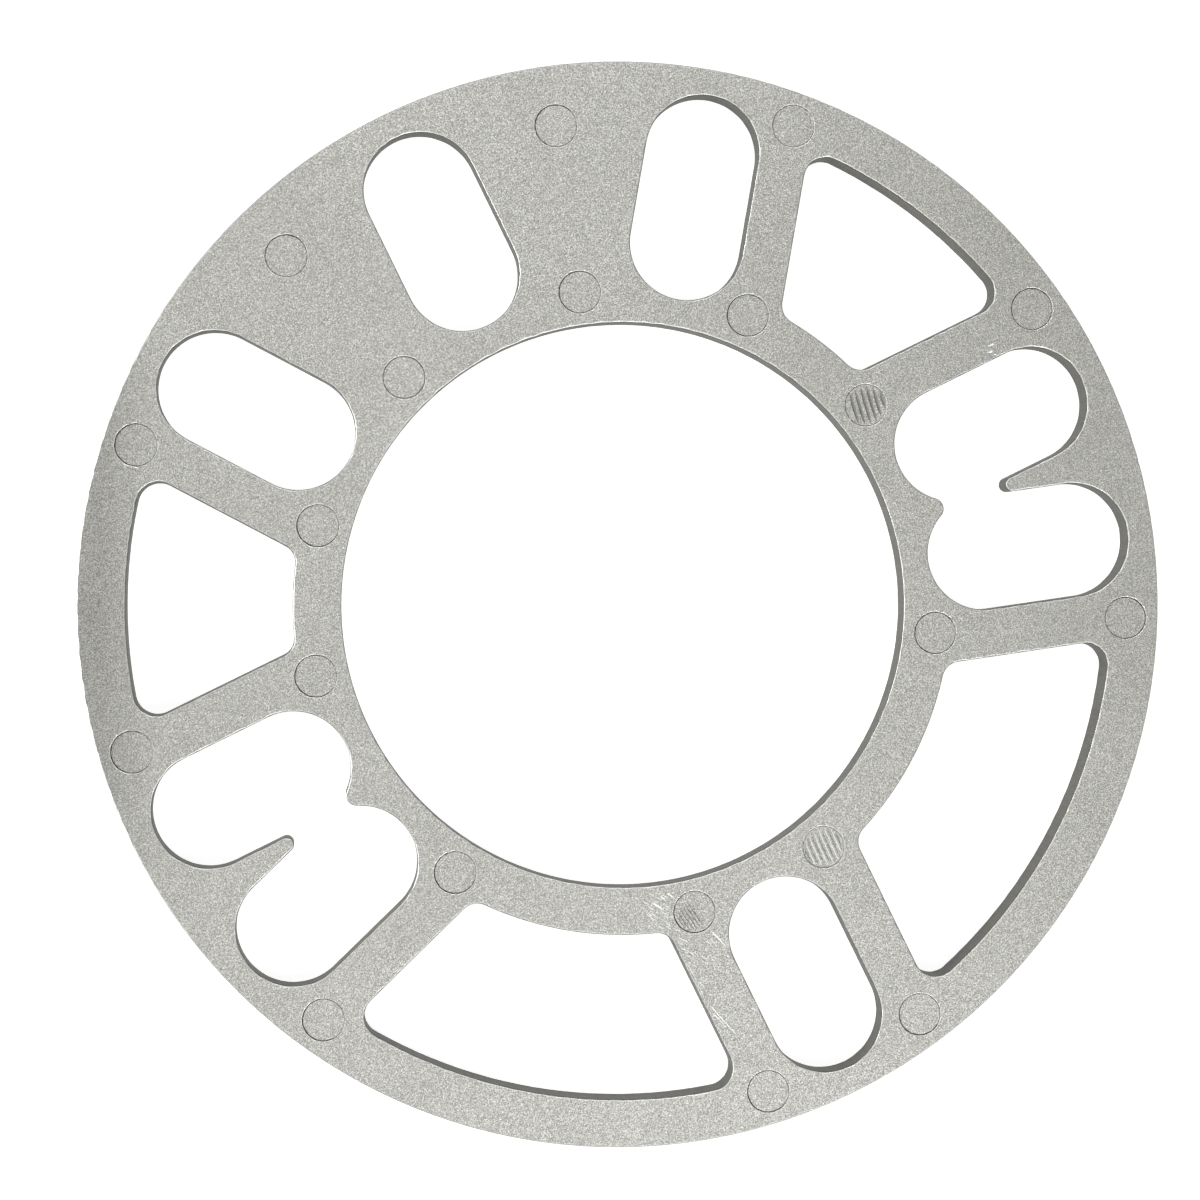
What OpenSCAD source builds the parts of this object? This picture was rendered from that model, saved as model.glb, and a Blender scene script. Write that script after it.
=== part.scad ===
// Wheel spacer: a flat die-cast plate that sits between a road wheel and its hub.
// Radial slots take the studs of four-stud and five-stud hubs over a range of stud
// circles. Where a slot of one pattern lies close to a slot of the other, the two
// run together. Windows between the slots save weight.
// Frame: Z is the axis of the hub, Z = 0 is the face against the hub, and Y is the
// plate's line of symmetry. The slot on -Y serves both stud patterns.

/* [Plate] */
// Outer diameter of the plate
outer_d = 150; // [136:0.5:170]
// Thickness of the plate
thickness = 5; // [3:0.5:12]
// Diameter of the bore over the hub
bore_d = 78; // [60:0.5:87]
// Width of the rim outside the windows
rim_w = 6.7; // [4:0.1:9]
// Width of the ring between the bore and the windows
ring_w = 6.7; // [4:0.1:9]
// Width of the webs between the slots and the windows
web_w = 6.7; // [4:0.1:9]

/* [Stud slots] */
// Width of a slot
slot_w = 15.8; // [14.5:0.1:17]
// Wall between the slots and the outer edge
slot_edge_wall = 3.6; // [2:0.1:5]
// Wall between the slots and the bore
slot_bore_wall = 3.9; // [2:0.1:5]
// Tip radius of the finger between two slots that run together
finger_r = 1; // [0.8:0.1:1.6]
// Tip radius of the cusp at the inner ends of those slots
cusp_r = 1.5; // [1:0.1:3]

/* [Windows] */
// Corner radius of the windows at the rim
rim_fillet_r = 3; // [1:0.25:4]
// Corner radius of the windows at the ring
ring_fillet_r = 2.5; // [1:0.25:4]

/* [Casting] */
// Draft angle of the window walls, which open towards the wheel face
draft = 1; // [0:0.25:2]
// Width of the broken edge round each face
edge_break = 0.2; // [0.1:0.05:0.4]
// Diameter of the marks that the ejector pins left in the wheel face
pin_d = 5.8; // [4:0.1:6.4]
// Depth of the ejector-pin marks
pin_depth = 0.15; // [0.05:0.05:0.4]
// Distance of the pin centres from the outer edge or from the bore
pin_inset = 4.6; // [4:0.1:5.5]
// How far the pins in the rim stand off the middle of their web, away from the slot
rim_pin_shift = 0.6; // [0:0.1:1.2]
// How far the pins in the ring stand off the middle of their web, towards the slot
ring_pin_shift = 1.2; // [0:0.1:1.4]
// Distance from the outer edge to the pins in the solid sectors
sector_pin_inset = 8.3; // [5:0.1:14]

/* [Hidden] */
$fn = 96;

outer_r = outer_d / 2;
bore_r = bore_d / 2;
slot_r = slot_w / 2;
// Radii of the smallest and the largest stud circle that the slots take
slot_in = bore_r + slot_bore_wall + slot_r;
slot_out = outer_r - slot_edge_wall - slot_r;
rim_in = outer_r - rim_w;
ring_out = bore_r + ring_w;
side_at = slot_r + web_w;
web_at = slot_r + web_w / 2;

// Both stud patterns start from the slot on -Y
four_step = 360 / 4;
five_step = 360 / 5;
shared_slot = -90;
four_slot = shared_slot + four_step;
five_slot = shared_slot + five_step;
upper_slot = shared_slot + 2 * five_step;
top_slot = shared_slot + 2 * four_step;
pair_half = (four_slot - five_slot) / 2;

// Cutters pass the faces by this much
over = 0.2;
// Fillets are this much fuller than tangent, so that their walls cross the flat walls
graze = 0.002;
// A window's sharp corner is filled this many fillet radii out from the fillet's centre
corner_span = 3;

taper = thickness * tan(draft);

// How far a wall stands back from its nominal outline at each height, for a wall that
// leans back by lean over the thickness and has both edges broken
function wall(lean) = [
    [edge_break + over, -over],
    [0, edge_break],
    [lean, thickness - edge_break],
    [lean + edge_break + over, thickness + over]
];

function turn(p, angle) = [
    p[0] * cos(angle) - p[1] * sin(angle),
    p[0] * sin(angle) + p[1] * cos(angle)
];

// Upright round cutter; grow is 1 where it cuts a hole, -1 where it is left standing
module post(r, grow = 1, lean = 0) {
    rotate_extrude()
        polygon(concat(
            [[0, -over]],
            [for (w = wall(lean)) [r + grow * w[0], w[1]]],
            [[0, thickness + over]]
        ));
}

// Upright prism through the plate
module prism(outline) {
    translate([0, 0, -over])
        linear_extrude(thickness + 2 * over)
            polygon(outline);
}

// Section in Y and Z, run along X
module run_along(from, to) {
    translate([from, 0, 0])
        rotate([90, 0, 90])
            linear_extrude(to - from)
                children();
}

// One stud slot along +X
module slot() {
    walls = wall(0);
    for (at = [slot_in, slot_out])
        translate([at, 0, 0])
            post(slot_r);
    run_along(slot_in, slot_out)
        polygon(concat(
            [for (w = walls) [slot_r + w[0], w[1]]],
            [for (i = [len(walls) - 1:-1:0]) [-slot_r - walls[i][0], walls[i][1]]]
        ));
}

// Two slots either side of +X that run together, with a rounded finger between them
// and a rounded cusp between their inner ends
module paired_slot() {
    finger_at = [(slot_r + finger_r) / sin(pair_half), 0];
    end_at = turn([slot_in, 0], pair_half);
    cusp_at = [end_at[0] - sqrt(pow(slot_r + cusp_r, 2) - pow(end_at[1], 2)), 0];
    foot_at = turn([finger_at[0] * cos(pair_half), 0], pair_half);
    for (side = [-1, 1])
        rotate(side * pair_half)
            slot();
    difference() {
        prism([
            finger_at, foot_at, end_at,
            cusp_at, [end_at[0], -end_at[1]], [foot_at[0], -foot_at[1]]
        ]);
        translate(finger_at)
            post(finger_r + graze, -1);
        translate(cusp_at)
            post(cusp_r + graze, -1);
    }
}

// What a rounded corner leaves standing in the window's sharp corner at the arc of
// radius arc_r; out is -1 where the window lies inside that arc and 1 outside
module corner(half, arc_r, fillet_r, out) {
    across = side_at + fillet_r;
    along = sqrt(pow(arc_r + out * fillet_r, 2) - pow(across, 2));
    centre = turn([along, -across], half);
    to_side = corner_span * fillet_r * turn([0, 1], half);
    to_arc = -out * corner_span * fillet_r * centre / norm(centre);
    difference() {
        prism([centre, centre + to_side, centre + to_side + to_arc, centre + to_arc]);
        translate(centre)
            post(fillet_r + graze, 1, taper);
    }
}

// Everything on the window's side of the web beside the slot at the angle half
module window_side(half) {
    rotate(half)
        translate([0, -side_at, 0])
            run_along(0, outer_r)
                polygon(concat(wall(taper), [[-outer_d, thickness + over], [-outer_d, -over]]));
}

// Window on +X between two slots that lie at the angle half to either side
module window(half) {
    walls = wall(taper);
    difference() {
        intersection() {
            rotate_extrude()
                polygon(concat(
                    [for (w = walls) [rim_in + w[0], w[1]]],
                    [for (i = [len(walls) - 1:-1:0]) [ring_out - walls[i][0], walls[i][1]]]
                ));
            window_side(half);
            mirror([0, 1, 0])
                window_side(half);
        }
        for (side = [0, 1])
            mirror([0, side, 0]) {
                corner(half, rim_in, rim_fillet_r, -1);
                corner(half, ring_out, ring_fillet_r, 1);
            }
    }
}

// Mark of one ejector pin in the wheel face, at a radius and a distance across from +X
module pin_mark(at, across = 0) {
    translate([sqrt(pow(at, 2) - pow(across, 2)), across, thickness - pin_depth])
        cylinder(d = pin_d, h = pin_depth + over);
}

// Marks at both ends of the web beside the slot on +X; side is 1 or -1
module web_pin_marks(side) {
    pin_mark(outer_r - pin_inset, side * (web_at + rim_pin_shift));
    pin_mark(bore_r + pin_inset, side * (web_at - ring_pin_shift));
}

// Marks in the solid sector on +X
module sector_pin_marks() {
    pin_mark(outer_r - sector_pin_inset);
    pin_mark(bore_r + pin_inset);
}

// What the plate has on its right, and again on its left
module both_sides() {
    children();
    mirror([1, 0, 0])
        children();
}

module spacer_plate() {
    color([0.73, 0.73, 0.71])
        difference() {
            rotate_extrude()
                polygon([
                    [0, 0],
                    [outer_r - edge_break, 0],
                    [outer_r, edge_break],
                    [outer_r, thickness - edge_break],
                    [outer_r - edge_break, thickness],
                    [0, thickness]
                ]);
            post(bore_r);
            for (angle = [shared_slot, top_slot])
                rotate(angle)
                    slot();
            both_sides() {
                rotate(upper_slot)
                    slot();
                rotate((four_slot + five_slot) / 2)
                    paired_slot();
                rotate((upper_slot + four_slot) / 2)
                    window((upper_slot - four_slot) / 2);
                rotate((five_slot + shared_slot) / 2)
                    window((five_slot - shared_slot) / 2);
                for (web = [[upper_slot, -1], [four_slot, 1], [five_slot, -1], [shared_slot, 1]])
                    rotate(web[0])
                        web_pin_marks(web[1]);
                rotate((top_slot + upper_slot) / 2)
                    sector_pin_marks();
            }
        }
}

spacer_plate();
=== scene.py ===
import math
from typing import NamedTuple

import bmesh
import bpy
import numpy as np
from mathutils import Matrix, Vector
from mathutils.geometry import delaunay_2d_cdt


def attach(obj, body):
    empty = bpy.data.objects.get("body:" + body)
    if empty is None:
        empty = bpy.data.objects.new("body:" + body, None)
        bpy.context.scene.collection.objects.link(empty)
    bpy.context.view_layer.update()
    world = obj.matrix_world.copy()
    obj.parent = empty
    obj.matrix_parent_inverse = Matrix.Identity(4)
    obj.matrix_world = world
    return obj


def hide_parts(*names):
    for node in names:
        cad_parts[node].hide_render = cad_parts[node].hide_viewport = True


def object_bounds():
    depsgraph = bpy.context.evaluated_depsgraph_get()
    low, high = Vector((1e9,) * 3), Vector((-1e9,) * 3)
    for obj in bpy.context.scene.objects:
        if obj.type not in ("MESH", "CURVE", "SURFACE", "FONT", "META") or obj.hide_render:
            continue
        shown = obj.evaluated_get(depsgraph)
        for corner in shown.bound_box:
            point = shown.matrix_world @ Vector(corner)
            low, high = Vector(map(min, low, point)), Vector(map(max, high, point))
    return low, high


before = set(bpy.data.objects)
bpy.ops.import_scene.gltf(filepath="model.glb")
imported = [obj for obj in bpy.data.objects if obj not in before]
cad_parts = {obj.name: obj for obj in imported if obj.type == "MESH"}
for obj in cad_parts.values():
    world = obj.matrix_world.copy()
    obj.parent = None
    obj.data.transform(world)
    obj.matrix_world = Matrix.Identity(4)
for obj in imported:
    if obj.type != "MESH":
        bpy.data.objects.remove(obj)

# Looks of the wheel spacer: one die-cast plate, blasted on its faces, on a pale studio floor.
# Shapes are built in millimetres, in the plate's frame, and scaled to metres at the end.
MM = 0.001
NODE = "spacer_plate"
CAD_LOW, CAD_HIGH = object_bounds()
TOP = CAD_HIGH.z / MM
BOTTOM = CAD_LOW.z / MM
OUTER = CAD_HIGH.x / MM

# Everything uneven is drawn from here, in the same order in every run
SEED = 11
rng = np.random.default_rng(SEED)

# Material slots of the plate
# The dull slot is cast skin on the rim and painted shade in the grooves of a ribbed pin
FACE, WALL, BARE, EDGE, DULL_AND_SHADE = range(5)

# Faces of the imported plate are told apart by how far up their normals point
FLAT_FROM = 0.95
WALL_TO = 0.3
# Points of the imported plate, or of a face in the making, that lie this close are one point
WELD = 0.001
FILL_WELD = WELD / 10
# Decimals of the places by which loops are put in order, and started
ORDER_DECIMALS = 1
START_DECIMALS = 2

# A face counts as level, and its border is kept crisp, when its normal points this far up or down
LEVEL = 0.99999
# How strongly large faces rule the shading of the points that they share, out of 100
AREA_WEIGHT = 100

# Spacing of the points along an edge, and of the loops at other heights that they are laid on
EDGE_STEP = 0.7
FINE_STEP = 0.2
# Bands across a rounded edge and down a wall
ROUND_STEPS = 4
WALL_STEPS = 3
# Bands of a rounded edge, from the face on, coloured bright as a painted highlight
BRIGHT_STEPS = 2
# Neighbouring chords of one arc differ in length by less than this share
SAME_CHORD = 0.03
# Three points lie in a line when the sine of the angle at the first is less than this
STRAIGHT = 0.01
# How unevenly the edges are rounded, as a share, and over what length
EDGE_WEAR = 0.35
WEAR_LENGTH = 2.5
# Unevenness round a loop is a sum of waves: how many are added, the spread of their numbers of
# periods, and what divides their sum
WAVES_ADDED = 4
WAVE_SPREAD = (0.4, 1.6)
WAVE_SHARE = 2.5

# Points inside the faces: their spacing, that of their rows as a share, and how far they stay
# from other points
GRID_STEP = 2.4
GRID_ROWS = math.sqrt(0.75)
GRID_CLEAR = 0.9

# Ejector-pin marks: a sunk disc with a chamfered edge, inside a narrow gap coloured dark as
# painted shade, with a lip coloured bright as a painted highlight
PIN_POINTS = 96
PIN_LIP = 0.13
PIN_LIP_SLOPE = 0.3
PIN_LIP_STEPS = 2
PIN_GAP = 0.032
PIN_GAP_DEPTH = 0.3
PIN_CHAMFER = 0.06
PIN_CHAMFER_DROP = 0.03
# The gap is wider on one side, and it and the lip are uneven: shares of their mean widths, the
# least share that is left, and the waves round a pin
PIN_OFF_CENTRE = 0.85
PIN_UNEVEN = 0.7
PIN_SHUT = 0.05
PIN_GAP_WAVES = 10
PIN_LIP_WAVES = 24
# The direction that the wide side of the gaps faces, and how much it differs from pin to
# pin, in degrees from +X
PIN_WIDE_SIDE = 145
PIN_SIDES_DIFFER = 70
# A mark is one of those listed below if it lies within this distance
PIN_MATCH = 1
# The marks whose gap is wide on the other side
TURNED_PINS = [(62.3, -32.7), (-13.5, 41.5), (-20.6, 63.4)]
# The marks of ribbed pins
RIBBED_RIGHT = (42.4, 10.0)
RIBBED_LOWER_RIGHT = (10.0, -42.4)
RIBBED_LOWER_LEFT = (-10.0, -42.4)
# The marks whose gap is all but shut, and how wide it is beside the others'
SHUT_PINS = [(50.4, 49.2), RIBBED_RIGHT, RIBBED_LOWER_RIGHT]
SHUT_GAP = 0.15


class Ribs(NamedTuple):
    """Grooves or ridges that a ribbed pin printed across its disc."""

    at: tuple
    # Degrees from +Y towards +X
    lean: float
    pitch: float
    width: float
    # Below the disc, or above it where negative
    depth: float
    slot: int
    # Spans of the disc across the ribs and along them, where 1 is its edge
    across: tuple
    ahead: tuple
    # How far the ribs stand off the pin's centre, in pitches
    shift: float = 0


WHOLE_WIDTH = (-0.95, 0.95)
WHOLE_LENGTH = (-0.97, 0.97)
# Ridges in the edge colour are painted highlights, and grooves in the dull colour painted shade
RIBS = [
    Ribs(RIBBED_RIGHT, 9.6, 0.84, 0.48, 0.16, DULL_AND_SHADE, (-0.85, 0.95), WHOLE_LENGTH),
    Ribs(RIBBED_LOWER_RIGHT, 2.2, 0.80, 0.34, 0.20, FACE, WHOLE_WIDTH, WHOLE_LENGTH),
    Ribs(RIBBED_LOWER_RIGHT, 2.2, 0.80, 0.22, -0.04, EDGE, WHOLE_WIDTH, WHOLE_LENGTH, 0.45),
    Ribs(RIBBED_LOWER_LEFT, -6.8, 0.46, 0.32, 0.15, FACE, (-0.95, 0.15), (-0.97, 0.80)),
]
RIB_SWAY = 0.02

# Strokes of any kind: the spacing and the least number of their spans, and the power of the
# curve by which they widen from their ends
STROKE_STEP = 0.8
STROKE_SPANS = 3
STROKE_TAPER = 0.5

# Scratches of the wheel face: how far they bow, their depth, and the start, end and width of each
SCRATCH_SWAY = 0.12
SCRATCH_DEPTH = 0.04
SCRATCHES = [
    ((-9.2, -45.9), (-8.3, -48.9), 0.26),
    ((-9.8, -46.6), (-9.1, -48.4), 0.16),
    ((-13.8, -55.0), (-12.3, -60.4), 0.19),
    ((-14.0, -56.2), (-13.2, -58.8), 0.15),
    ((-14.1, -48.3), (-14.2, -54.2), 0.15),
    ((-14.9, -38.6), (-13.8, -40.4), 0.28),
    ((-12.4, -38.3), (-11.8, -39.5), 0.26),
    ((-15.6, -39.8), (-15.0, -41.1), 0.20),
    ((-13.5, -38.4), (-12.9, -39.6), 0.16),
    ((61.3, 9.9), (62.5, 9.8), 0.22),
    ((60.8, 9.2), (62.0, 9.0), 0.22),
    ((61.5, 8.4), (62.1, 8.3), 0.15),
]

# A patch of the wheel face that something rubbed: its middle and spread, the direction of
# the fine strokes, how many are tried, how far they stay from edges and pin marks, their
# length with the least share of it, and their width and depth
RUB_AT = np.array([-13.0, -43.0])
RUB_SPREAD = np.array([2.4, 3.6])
RUB_WAY = np.array([0.52, -0.85])
RUB_COUNT = 110
RUB_CLEAR = 0.4
RUB_LENGTH = 1.5
RUB_SHORTEST = 0.4
RUB_WIDTH = 0.13
RUB_DEPTH = 0.03

# The side on which the photograph shows the rim darker, painted as shade into the face's colour:
# in degrees from +X, the shares of the radius between which the painted shade grows, and the
# share of its brightness that is left
PAINTED_SHADE_SIDE = 154
PAINTED_SHADE_FROM = 0.86
PAINTED_SHADE_TO = 0.955
PAINTED_SHADE_LEFT = 0.77

# The photograph's viewpoint: the plate lies turned, and the camera looks down on it from a
# little left of its middle
TURN = math.radians(26.2)
RIGHT = Vector((math.cos(TURN), -math.sin(TURN), 0))
UP = Vector((math.sin(TURN), math.cos(TURN), 0))
# Right, up and height above the plate of the camera and of the point that it looks at
CAMERA_AT = (-42, 4, 450)
AIM_AT = (-3.43, 0.70, 0)
LENS = 98.2
SENSOR = 36
NEAREST = 10

# Soft lights: right, up, height, width and length in millimetres, and power in watts
LIGHTS = {
    "strip_below": (0, -350, 800, 150, 300, 0.87),
    "strip_above": (0, 350, 800, 150, 300, 1.29),
    "strip_right": (250, -400, 800, 150, 300, 1.34),
    "key_left": (-900, 0, 280, 300, 900, 7.2),
}
SKY = 0.25
FLOOR_SIZE = 8000
FLOOR_GLOW = 0.7
WHITE = (1, 1, 1, 1)
PALE = (0.95, 0.95, 0.95, 1)


def kind(face):
    """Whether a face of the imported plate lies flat, stands as a wall or breaks an edge."""
    up = abs(face.normal.z)
    if up > FLAT_FROM:
        return "flat"
    if up < WALL_TO:
        return "wall"
    return "break"


def packed_plate():
    """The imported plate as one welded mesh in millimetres."""
    plate = bmesh.new()
    plate.from_mesh(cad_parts[NODE].data)
    bmesh.ops.scale(plate, vec=Vector((1, 1, 1)) / MM, verts=plate.verts)
    bmesh.ops.remove_doubles(plate, verts=plate.verts, dist=WELD)
    plate.normal_update()
    return plate


def loops_between(plate, kinds, low, high):
    """Closed loops of x and y where faces of two kinds meet between two heights."""
    meeting = set()
    for edge in plate.edges:
        height = (edge.verts[0].co.z + edge.verts[1].co.z) / 2
        if low < height < high and {kind(f) for f in edge.link_faces} == kinds:
            meeting.add(edge)
    loops = []
    while meeting:
        edge = meeting.pop()
        chain = list(edge.verts)
        while chain[-1] is not chain[0]:
            edge = next(e for e in chain[-1].link_edges if e in meeting)
            meeting.remove(edge)
            chain.append(edge.other_vert(chain[-1]))
        loops.append(from_right(np.array([v.co.xy for v in chain[:-1]])))
    return sorted(loops, key=lambda loop: tuple(np.round(place(loop), ORDER_DECIMALS)))


def from_right(loop):
    """The loop anticlockwise from its rightmost point, which is the same in every run."""
    ends = np.roll(loop, -1, axis=0)
    area = (loop[:, 0] * ends[:, 1] - ends[:, 0] * loop[:, 1]).sum() / 2
    if area < 0:
        loop = loop[::-1]
    start = max(range(len(loop)), key=lambda k: tuple(np.round(loop[k], START_DECIMALS)))
    return np.roll(loop, -start, axis=0)


def place(loop):
    """Width and centre of a loop, which tell it from the others."""
    low, high = loop.min(0), loop.max(0)
    return np.array([high[0] - low[0], *(low + high) / 2])


def matching(loop, others):
    """The loop at another height that belongs to the same opening."""
    return min(others, key=lambda other: np.linalg.norm(place(other) - place(loop)))


def circle_centre(a, b, c):
    """Centre of the circle through three points, or None where they lie in a line."""
    ab, ac = b - a, c - a
    cross = ab[0] * ac[1] - ab[1] * ac[0]
    if abs(cross) < STRAIGHT * np.linalg.norm(ab) * np.linalg.norm(ac):
        return None
    turned = np.array([[ac[1], -ab[1]], [-ac[0], ab[0]]])
    return a + turned @ np.array([ab @ ab, ac @ ac]) / (2 * cross)


def arc_centre(loop, lengths, i):
    """Centre of the arc that the chord from point i belongs to, or None on a straight."""
    count = len(loop)
    for first, other in ((i - 1, i - 1), (i, (i + 1) % count)):
        if abs(lengths[i] - lengths[other]) < SAME_CHORD * lengths[i]:
            trio = [loop[(first + k) % count] for k in range(3)]
            return circle_centre(*trio)
    return None


def along(loop, step):
    """The loop with points no further apart than step, and its arcs round between them."""
    ends = np.roll(loop, -1, axis=0)
    lengths = np.linalg.norm(ends - loop, axis=1)
    points = []
    for i, (start, end) in enumerate(zip(loop, ends)):
        parts = max(1, math.ceil(lengths[i] / step))
        centre = arc_centre(loop, lengths, i)
        for k in range(parts):
            point = start + (end - start) * k / parts
            if k and centre is not None:
                out = point - centre
                point = centre + out * np.linalg.norm(start - centre) / np.linalg.norm(out)
            points.append(point)
    return np.array(points)


def nearest_on(loop, points):
    """The point of a loop that is nearest to each of the given points."""
    run = np.roll(loop, -1, axis=0) - loop
    gap = points[:, None] - loop[None]
    share = np.clip((gap * run).sum(2) / (run * run).sum(1), 0, 1)
    foot = loop + share[..., None] * run
    best = ((points[:, None] - foot) ** 2).sum(2).argmin(1)
    return foot[np.arange(len(points)), best]


def enclosed(points, loops):
    """Which points lie inside an odd number of loops, as those of the plate's face do."""
    odd = np.zeros(len(points), bool)
    x, y = points[:, :1], points[:, 1:]
    for loop in loops:
        ends = np.roll(loop, -1, axis=0)
        passes = (loop[:, 1] > y) != (ends[:, 1] > y)
        rise = np.where(ends[:, 1] == loop[:, 1], 1, ends[:, 1] - loop[:, 1])
        at = loop[:, 0] + (y - loop[:, 1]) * (ends[:, 0] - loop[:, 0]) / rise
        odd ^= (passes & (x < at)).sum(1) % 2 == 1
    return odd


def full_turn(count):
    """Angles of so many points evenly round a circle."""
    return np.arange(count) * 2 * math.pi / count


def uneven(count, waves):
    """Smooth noise round a loop of points, about zero and up to about one."""
    turn = full_turn(count)
    noise = np.zeros(count)
    for _ in range(WAVES_ADDED):
        wave = max(1, round(waves * rng.uniform(*WAVE_SPREAD)))
        noise += np.sin(wave * turn + rng.uniform(0, 2 * math.pi)) / WAVE_SHARE
    return noise


class Skin:
    """Points and faces of one mesh in the making, in millimetres."""

    def __init__(self):
        self.points = []
        self.faces = []
        self.slots = []

    def add(self, xy, z):
        """Adds points at the given heights and returns their numbers."""
        first = len(self.points)
        heights = np.broadcast_to(z, len(xy))
        self.points += [(x, y, h) for (x, y), h in zip(xy, heights)]
        return np.arange(first, len(self.points))

    def band(self, ring, inner, slot):
        """Joins two rings of as many points."""
        for a, b, c, d in zip(ring, np.roll(ring, -1), np.roll(inner, -1), inner):
            self.faces.append((a, b, c, d))
            self.slots.append(slot)

    def outlines(self, rings):
        """The places of rings of points, seen from above."""
        return [np.array([self.points[i][:2] for i in ring]) for ring in rings]

    def fill(self, rings, z, strokes=()):
        """Fills the plate's face between rings of points, with strokes cut in it."""
        loops = self.outlines(rings)
        numbers = list(np.concatenate(rings))
        spots = np.concatenate(loops)
        edges = []
        for ring in rings:
            first = len(edges)
            edges += [(first + k, first + (k + 1) % len(ring)) for k in range(len(ring))]
        cut = {}
        for stroke in strokes:
            inside = self.add(stroke.points, z - stroke.depths)
            edges += [(len(numbers) + a, len(numbers) + b) for a, b in stroke.edges]
            cut.update((k, stroke.slot) for k in inside[stroke.depths != 0])
            numbers += list(inside)
            spots = np.concatenate([spots, stroke.points])
        grid = clear_grid(loops, spots)
        numbers += list(self.add(grid, z))
        spots = np.concatenate([spots, grid])
        places = [Vector(spot) for spot in spots]
        corners, _, triangles, origins, _, _ = delaunay_2d_cdt(places, edges, [], 0, FILL_WELD)
        number = []
        for corner, origin in zip(corners, origins):
            number.append(numbers[origin[0]] if origin else self.add([corner], z)[0])
        flat = np.array([corner[:] for corner in corners])
        centres = flat[np.array(triangles)].mean(1)
        for triangle, inside in zip(triangles, enclosed(centres, loops)):
            if inside:
                face = tuple(number[k] for k in triangle)
                self.faces.append(face)
                self.slots.append(next((cut[k] for k in face if k in cut), FACE))

    def piece(self, name, materials):
        """The finished object, smooth across its rounded edges."""
        mesh = bpy.data.meshes.new(name)
        points = [tuple(x * MM for x in point) for point in self.points]
        faces = [tuple(int(k) for k in face) for face in self.faces]
        mesh.from_pydata(points, [], faces)
        for material in materials:
            mesh.materials.append(material)
        mesh.polygons.foreach_set("material_index", self.slots)
        mesh.polygons.foreach_set("use_smooth", [True] * len(faces))
        shaped = bmesh.new()
        shaped.from_mesh(mesh)
        loose = [v for v in shaped.verts if not v.link_faces]
        bmesh.ops.delete(shaped, geom=loose, context="VERTS")
        bmesh.ops.recalc_face_normals(shaped, faces=shaped.faces)
        for edge in shaped.edges:
            level = [abs(face.normal.z) > LEVEL for face in edge.link_faces]
            edge.smooth = all(level) or not any(level)
        shaped.to_mesh(mesh)
        shaped.free()
        piece = bpy.data.objects.new(name, mesh)
        bpy.context.scene.collection.objects.link(piece)
        weighted = piece.modifiers.new("even_faces", "WEIGHTED_NORMAL")
        weighted.weight = AREA_WEIGHT
        weighted.keep_sharp = True
        return piece


def clear_grid(loops, spots):
    """Points spread over the plate's face, clear of the points that are there already."""
    low, high = spots.min(0), spots.max(0)
    rows = np.arange(low[1], high[1], GRID_STEP * GRID_ROWS)
    grid = []
    for row, y in enumerate(rows):
        start = low[0] + (row % 2) * GRID_STEP / 2
        grid += [(x, y) for x in np.arange(start, high[0], GRID_STEP)]
    grid = np.array(grid)
    grid = grid[enclosed(grid, loops)]
    gaps = [np.linalg.norm(spots - point, axis=1).min() for point in grid]
    return grid[np.array(gaps) > GRID_CLEAR]


class Stroke:
    """A scratch, groove or ridge of a level face, which runs out at both ends."""

    def __init__(self, start, end, width, depth, slot, sway):
        self.slot = slot
        start, end = np.array(start), np.array(end)
        run = end - start
        length = np.linalg.norm(run)
        across = np.array([-run[1], run[0]]) / length
        count = max(STROKE_SPANS, math.ceil(length / STROKE_STEP))
        share = np.linspace(0, 1, count + 1)
        swell = np.sin(math.pi * share)
        half = width / 2 * swell ** STROKE_TAPER
        bow = sway * swell * rng.uniform(-1, 1)
        middle = start + share[:, None] * run + bow[:, None] * across
        left = middle[1:-1] + half[1:-1, None] * across
        right = middle[1:-1] - half[1:-1, None] * across
        self.points = np.concatenate([middle, left, right])
        side = len(left)
        self.depths = np.concatenate([depth * swell, np.zeros(2 * side)])
        self.depths[[0, count]] = 0
        self.edges = [(k, k + 1) for k in range(count)]
        for first in (count + 1, count + 1 + side):
            path = [0, *range(first, first + side), count]
            self.edges += list(zip(path, path[1:]))


def rubbing(loops):
    """Short fine strokes in one direction, clear of the edges and the pin marks."""
    edges = np.concatenate(loops)
    strokes = []
    for _ in range(RUB_COUNT):
        middle = RUB_AT + RUB_SPREAD * rng.standard_normal(2)
        half = RUB_WAY * RUB_LENGTH / 2 * rng.uniform(RUB_SHORTEST, 1)
        spots = np.array([middle - half, middle, middle + half])
        gap = np.linalg.norm(edges[:, None] - spots, axis=2).min()
        if gap > RUB_CLEAR and enclosed(spots, loops).all():
            strokes.append(Stroke(spots[0], spots[2], RUB_WIDTH, RUB_DEPTH, BARE, SCRATCH_SWAY))
    return strokes


def rounded_edge(skin, wall, face, wear, level, drop):
    """Rings round a worn edge, from the level face to the wall that lies drop away from it."""
    rings = []
    for k in range(ROUND_STEPS + 1):
        turn = math.pi / 2 * k / ROUND_STEPS
        out = wall + (face - wall) * (wear * (1 - math.sin(turn)))[:, None]
        rings.append(skin.add(out, level - drop * wear * (1 - math.cos(turn))))
    return rings


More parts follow.
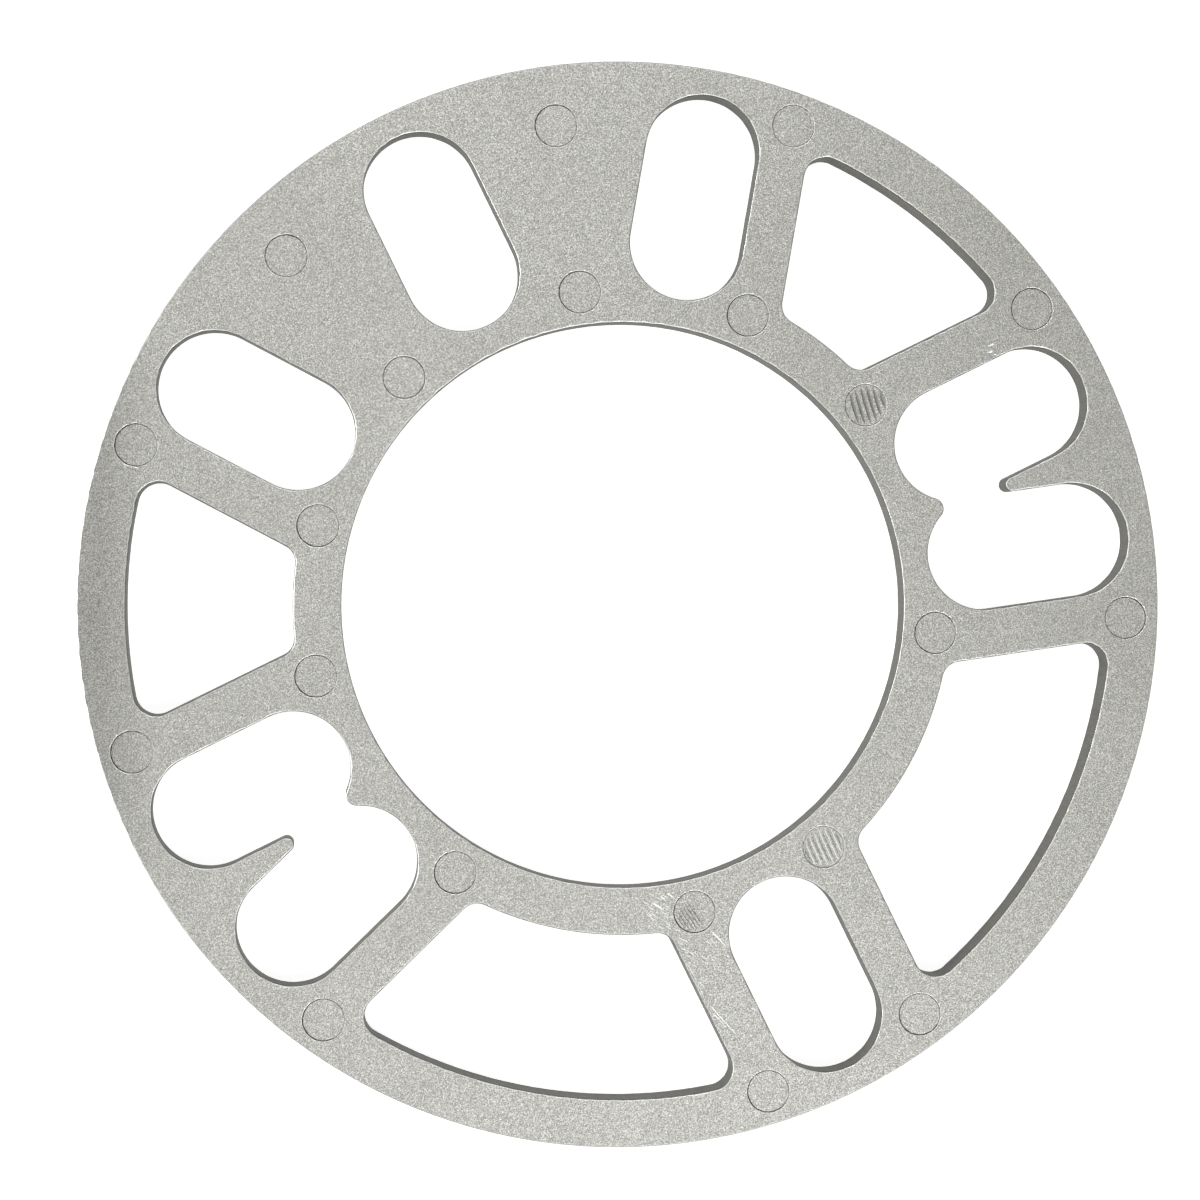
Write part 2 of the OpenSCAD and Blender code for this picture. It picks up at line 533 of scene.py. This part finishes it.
def build_edges(skin, plate):
    """Walls with rounded edges round every opening and the rim; returns the face rings."""
    middle = (TOP + BOTTOM) / 2
    upper_face = loops_between(plate, {"flat", "break"}, middle, TOP + WELD)
    upper_wall = loops_between(plate, {"wall", "break"}, middle, TOP)
    lower_wall = loops_between(plate, {"wall", "break"}, BOTTOM, middle)
    lower_face = loops_between(plate, {"flat", "break"}, BOTTOM - WELD, middle)
    breaks = [v.co.z for f in plate.faces if kind(f) == "break" for v in f.verts]
    edge_break = TOP - min(z for z in breaks if z > middle)
    rim = max(upper_face, key=lambda loop: place(loop)[0])
    tops, bottoms = [], []
    for loop in upper_face:
        face = along(loop, EDGE_STEP)
        wall, foot, back = (
            nearest_on(along(matching(loop, others), FINE_STEP), face)
            for others in (upper_wall, lower_wall, lower_face)
        )
        waves = np.linalg.norm(np.roll(face, -1, axis=0) - face, axis=1).sum() / WEAR_LENGTH
        wear = 1 + EDGE_WEAR * uneven(len(face), waves)
        wear_back = 1 + EDGE_WEAR * uneven(len(face), waves)
        made = rounded_edge(skin, wall, face, wear, TOP, edge_break)
        for k in range(1, WALL_STEPS):
            share = k / WALL_STEPS
            height = TOP - edge_break - share * (TOP - BOTTOM - 2 * edge_break)
            made.append(skin.add(wall + (foot - wall) * share, height))
        made += reversed(rounded_edge(skin, foot, back, wear_back, BOTTOM, -edge_break))
        # The inner walls are dark partly as painted shade in the holes; the rim takes the dull
        # cast skin
        side = DULL_AND_SHADE if loop is rim else WALL
        # The bands next to the face and to the floor are coloured bright as a painted highlight
        for k, (ring, inner) in enumerate(zip(made, made[1:])):
            bright = k < BRIGHT_STEPS or k >= len(made) - 1 - BRIGHT_STEPS
            skin.band(ring, inner, EDGE if bright else side)
        tops.append(made[0])
        bottoms.append(made[-1])
    return tops, bottoms


def listed(centre, pins):
    """Whether a pin mark is one of those listed."""
    return any(math.dist(pin, centre) < PIN_MATCH for pin in pins)


def pin_gap(turn, centre):
    """Width of the gap round a pin in each direction."""
    side = math.radians(PIN_WIDE_SIDE + PIN_SIDES_DIFFER * rng.uniform(-1, 1))
    if listed(centre, TURNED_PINS):
        side += math.pi
    off_centre = PIN_OFF_CENTRE * np.cos(turn - side)
    share = 1 + off_centre + PIN_UNEVEN * uneven(PIN_POINTS, PIN_GAP_WAVES)
    return PIN_GAP * np.maximum(share, PIN_SHUT)


def pin_lip():
    """Width of the lip round a pin in each direction."""
    share = 1 + PIN_UNEVEN * uneven(PIN_POINTS, PIN_LIP_WAVES)
    return PIN_LIP * np.maximum(share, PIN_SHUT)


def build_pins(skin, plate):
    """Marks of the ejector pins; returns the rings where they break the face."""
    floors = [f.calc_center_median().z for f in plate.faces if kind(f) == "flat"]
    depth = TOP - max(z for z in floors if z < TOP - WELD)
    turn = full_turn(PIN_POINTS)
    way = np.stack([np.cos(turn), np.sin(turn)], axis=1)
    rims = []
    for loop in loops_between(plate, {"flat", "wall"}, TOP - WELD, TOP + WELD):
        centre = loop.mean(0)
        radius = np.linalg.norm(loop - centre, axis=1).mean()
        shut = listed(centre, SHUT_PINS)
        gap = pin_gap(turn, centre) * (SHUT_GAP if shut else 1)
        lip = pin_lip()
        disc = radius - gap - PIN_CHAMFER
        # Reach and depth of each ring, from the face down into the gap and up to the disc
        rings = [
            (radius + lip * (1 - share), lip * PIN_LIP_SLOPE * share ** 2)
            for share in np.linspace(0, 1, PIN_LIP_STEPS + 1)
        ]
        rings += [
            (np.full(PIN_POINTS, radius), PIN_GAP_DEPTH),
            (radius - gap, PIN_GAP_DEPTH),
            (radius - gap, depth + PIN_CHAMFER_DROP),
            (disc, depth),
        ]
        made = [skin.add(centre + reach[:, None] * way, TOP - down) for reach, down in rings]
        # Painted shade: an open gap takes the dark wall colour; painted highlight: the lip's
        # outer band takes the bright edge colour
        deep = FACE if shut else WALL
        slots = [EDGE, FACE, deep, deep, deep, FACE]
        for ring, inner, slot in zip(made, made[1:], slots):
            skin.band(ring, inner, slot)
        skin.fill([made[-1]], TOP - depth, printed_ribs(centre, disc.min()))
        rims.append(made[0])
    return rims


def printed_ribs(centre, radius):
    """Strokes that a ribbed pin printed across its disc, or none for a plain pin."""
    strokes = []
    for ribs in RIBS:
        if not listed(centre, [ribs.at]):
            continue
        lean = math.radians(ribs.lean)
        side = np.array([math.cos(lean), -math.sin(lean)])
        front = np.array([math.sin(lean), math.cos(lean)])
        first, last = (reach * radius / ribs.pitch - ribs.shift for reach in ribs.across)
        for k in range(math.ceil(first), math.floor(last) + 1):
            off = (k + ribs.shift) * ribs.pitch
            chord = math.sqrt(radius ** 2 - off ** 2)
            start, end = (centre + off * side + share * chord * front for share in ribs.ahead)
            strokes.append(Stroke(start, end, ribs.width, ribs.depth, ribs.slot, RIB_SWAY))
    return strokes


class Nodes:
    """Short hand for the nodes of one material."""

    def __init__(self, name):
        self.material = bpy.data.materials.new(name)
        self.material.use_nodes = True
        self.tree = self.material.node_tree
        self.shader = self.tree.nodes["Principled BSDF"]
        self.coords = self.tree.nodes.new("ShaderNodeTexCoord").outputs["Object"]

    def link(self, source, target):
        """Joins two sockets."""
        self.tree.links.new(source, target)

    def feed(self, name, source):
        """Links a socket of the shader."""
        self.link(source, self.shader.inputs[name])

    def set(self, name, value):
        """Gives a socket of the shader one value all over the surface."""
        self.shader.inputs[name].default_value = value

    def noise(self, size, detail, stretch=(1, 1, 1)):
        """Noise with features of about the given size in millimetres."""
        spread = self.tree.nodes.new("ShaderNodeMapping")
        spread.inputs["Scale"].default_value = [1 / (size * MM * s) for s in stretch]
        self.link(self.coords, spread.inputs["Vector"])
        noise = self.tree.nodes.new("ShaderNodeTexNoise")
        noise.inputs["Scale"].default_value = 1
        noise.inputs["Detail"].default_value = detail
        self.link(spread.outputs["Vector"], noise.inputs["Vector"])
        return noise.outputs["Fac"]

    def ramp(self, source, stops):
        """Colours or greys at places of a noise, from (place, value) pairs."""
        ramp = self.tree.nodes.new("ShaderNodeValToRGB")
        elements = ramp.color_ramp.elements
        while len(elements) < len(stops):
            # Between the first stop and the last, until it is placed below
            elements.new(0.5)
        for element, (at, value) in zip(elements, stops):
            colour = value if isinstance(value, tuple) else (value, value, value)
            element.position = at
            element.color = (*colour, 1)
        self.link(source, ramp.inputs["Fac"])
        return ramp.outputs["Color"]

    def multiply(self, a, b):
        """Product of two colours."""
        mix = self.tree.nodes.new("ShaderNodeMix")
        mix.data_type = "RGBA"
        mix.blend_type = "MULTIPLY"
        mix.inputs["Factor"].default_value = 1.0
        self.link(a, mix.inputs["A"])
        self.link(b, mix.inputs["B"])
        return mix.outputs["Result"]

    def reach(self, angle, radius):
        """How far out a point lies in one direction, as a share of a radius in millimetres."""
        reach = self.tree.nodes.new("ShaderNodeVectorMath")
        reach.operation = "DOT_PRODUCT"
        way = Vector((math.cos(math.radians(angle)), math.sin(math.radians(angle)), 0))
        reach.inputs[1].default_value = way / (radius * MM)
        self.link(self.coords, reach.inputs[0])
        return reach.outputs["Value"]

    def bump(self, source, depth, under=None):
        """Bump of the given depth in millimetres, over another bump if there is one."""
        bump = self.tree.nodes.new("ShaderNodeBump")
        bump.inputs["Distance"].default_value = depth * MM
        self.link(source, bump.inputs["Height"])
        if under:
            self.link(under, bump.inputs["Normal"])
        return bump.outputs["Normal"]


def blasted_face_and_painted_light():
    """Blasted cast aluminium: a satin skin with a fine grain of lighter and darker specks, the
    brightest of which are painted glints, and painted shade on one side of the rim.
    """
    dark, middle, light = (0.44, 0.436, 0.407), (0.68, 0.674, 0.635), (1.0, 0.992, 0.94)
    nodes = Nodes("cast_aluminium_face")
    grain = nodes.noise(size=0.15, detail=1)
    specks = nodes.noise(size=0.14, detail=1)
    clouds = nodes.noise(size=14, detail=3)
    reach = nodes.reach(PAINTED_SHADE_SIDE, OUTER)
    colour = nodes.ramp(grain, [(0.32, dark), (0.52, middle), (0.69, light)])
    # The bright end of the specks' ramp is painted glints of the light on the blasted grain
    colour = nodes.multiply(colour, nodes.ramp(specks, [(0.40, 0.77), (0.56, 0.82), (0.70, 1.0)]))
    colour = nodes.multiply(colour, nodes.ramp(clouds, [(0.3, 0.94), (0.7, 1.0)]))
    # Painted shade: the face is coloured darker towards the rim on one side
    colour = nodes.multiply(colour, nodes.ramp(reach, [(PAINTED_SHADE_FROM, 1.0), (PAINTED_SHADE_TO, PAINTED_SHADE_LEFT)]))
    nodes.feed("Base Color", colour)
    nodes.feed("Roughness", nodes.ramp(grain, [(0.3, 0.58), (0.7, 0.44)]))
    grain_relief = nodes.bump(grain, depth=0.03)
    nodes.feed("Normal", nodes.bump(specks, depth=0.012, under=grain_relief))
    nodes.set("Metallic", 1.0)
    return nodes.material


def cast_wall_and_shade():
    """Walls as they left the die, dull, with faint upright drag lines; their dark colour is
    partly painted shade in the holes.
    """
    dark, light = (0.084, 0.082, 0.068), (0.112, 0.109, 0.093)
    nodes = Nodes("cast_aluminium_wall")
    drag = nodes.noise(size=0.5, detail=3, stretch=(1, 1, 12))
    clouds = nodes.noise(size=3, detail=3)
    colour = nodes.ramp(drag, [(0.3, dark), (0.7, light)])
    colour = nodes.multiply(colour, nodes.ramp(clouds, [(0.3, 0.85), (0.7, 1.0)]))
    nodes.feed("Base Color", colour)
    nodes.feed("Normal", nodes.bump(drag, depth=0.03))
    nodes.set("Metallic", 0.5)
    nodes.set("Roughness", 0.6)
    return nodes.material


def painted_highlight_edge():
    """Rounded edges coloured brighter than the faces, as a painted highlight."""
    dark, light = (0.66, 0.655, 0.62), (0.93, 0.925, 0.885)
    nodes = Nodes("cast_aluminium_edge")
    grain = nodes.noise(size=0.18, detail=2)
    nodes.feed("Base Color", nodes.ramp(grain, [(0.3, dark), (0.6, light)]))
    nodes.feed("Normal", nodes.bump(grain, depth=0.015))
    nodes.set("Metallic", 1.0)
    nodes.set("Roughness", 0.42)
    return nodes.material


def dull_skin_and_groove_shade():
    """Cast skin that the blasting hardly reached, on the rim; in the grooves of a ribbed pin its
    darker colour is painted shade.
    """
    dark, light = (0.25, 0.247, 0.23), (0.42, 0.416, 0.39)
    nodes = Nodes("cast_aluminium_dull_and_shade")
    grain = nodes.noise(size=0.2, detail=2)
    nodes.feed("Base Color", nodes.ramp(grain, [(0.3, dark), (0.7, light)]))
    nodes.feed("Normal", nodes.bump(grain, depth=0.02))
    nodes.set("Metallic", 1.0)
    nodes.set("Roughness", 0.55)
    return nodes.material


def bare_metal():
    """Fresh bright metal in the scratches."""
    dark, light = (0.86, 0.86, 0.84), (0.97, 0.97, 0.95)
    nodes = Nodes("bare_aluminium")
    streaks = nodes.noise(size=0.3, detail=2)
    nodes.feed("Base Color", nodes.ramp(streaks, [(0.3, dark), (0.7, light)]))
    nodes.set("Metallic", 0.8)
    nodes.set("Roughness", 0.35)
    return nodes.material


def build_plate():
    """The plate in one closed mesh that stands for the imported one."""
    plate = packed_plate()
    skin = Skin()
    tops, bottoms = build_edges(skin, plate)
    rims = build_pins(skin, plate)
    strokes = [Stroke(*scratch, SCRATCH_DEPTH, BARE, SCRATCH_SWAY) for scratch in SCRATCHES]
    strokes += rubbing(skin.outlines(tops + rims))
    skin.fill(tops + rims, TOP, strokes)
    skin.fill(bottoms, BOTTOM)
    plate.free()
    # In the order of the material slots
    materials = [blasted_face_and_painted_light(), cast_wall_and_shade(), bare_metal(), painted_highlight_edge(), dull_skin_and_groove_shade()]
    piece = skin.piece("spacer_casting", materials)
    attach(piece, "root")
    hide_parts(NODE)


def in_view(right, up, height):
    """A point so far right and up in the photograph, at a height."""
    return RIGHT * right + UP * up + Vector((0, 0, height))


def looking(at, towards):
    """Place and turn of something that looks along -Z from a point to another, in metres."""
    back = (at - towards).normalized()
    side = UP.cross(back).normalized()
    turn = Matrix((side, back.cross(side), back)).transposed().to_4x4()
    return Matrix.Translation(at * MM) @ turn


def make_camera():
    """The camera at the photograph's viewpoint."""
    lens = bpy.data.cameras.new("camera")
    lens.lens = LENS
    lens.sensor_width = SENSOR
    lens.clip_start = NEAREST * MM
    camera = bpy.data.objects.new("camera", lens)
    at, aim = (in_view(right, up, TOP + above) for right, up, above in (CAMERA_AT, AIM_AT))
    camera.matrix_world = looking(at, aim)
    bpy.context.scene.collection.objects.link(camera)
    bpy.context.scene.camera = camera


def soft_light(name, right, up, height, width, length, power):
    """Soft light, width across and length up the photograph, aimed at the plate."""
    light = bpy.data.lights.new(name, "AREA")
    light.shape = "RECTANGLE"
    light.size = width * MM
    light.size_y = length * MM
    light.energy = power
    lamp = bpy.data.objects.new(name, light)
    lamp.matrix_world = looking(in_view(right, up, height), Vector((0, 0, 0)))
    bpy.context.scene.collection.objects.link(lamp)


def pale_floor():
    """Matt pale floor with a faint glow of its own, which keeps it white under the plate."""
    nodes = Nodes("pale_floor")
    nodes.set("Base Color", PALE)
    nodes.set("Roughness", 0.9)
    nodes.set("Specular IOR Level", 0.1)
    nodes.set("Emission Color", WHITE)
    nodes.set("Emission Strength", FLOOR_GLOW)
    return nodes.material


def make_stage():
    """Pale floor, soft lights and an even sky."""
    bpy.ops.mesh.primitive_plane_add(size=FLOOR_SIZE * MM)
    floor = bpy.context.object
    floor.name = "floor"
    floor.data.materials.append(pale_floor())
    world = bpy.data.worlds.new("studio")
    world.use_nodes = True
    sky = world.node_tree.nodes["Background"]
    sky.inputs["Color"].default_value = WHITE
    sky.inputs["Strength"].default_value = SKY
    bpy.context.scene.world = world
    for name, light in LIGHTS.items():
        soft_light(name, *light)
    bpy.context.scene.view_settings.view_transform = "Standard"


build_plate()
make_camera()
make_stage()
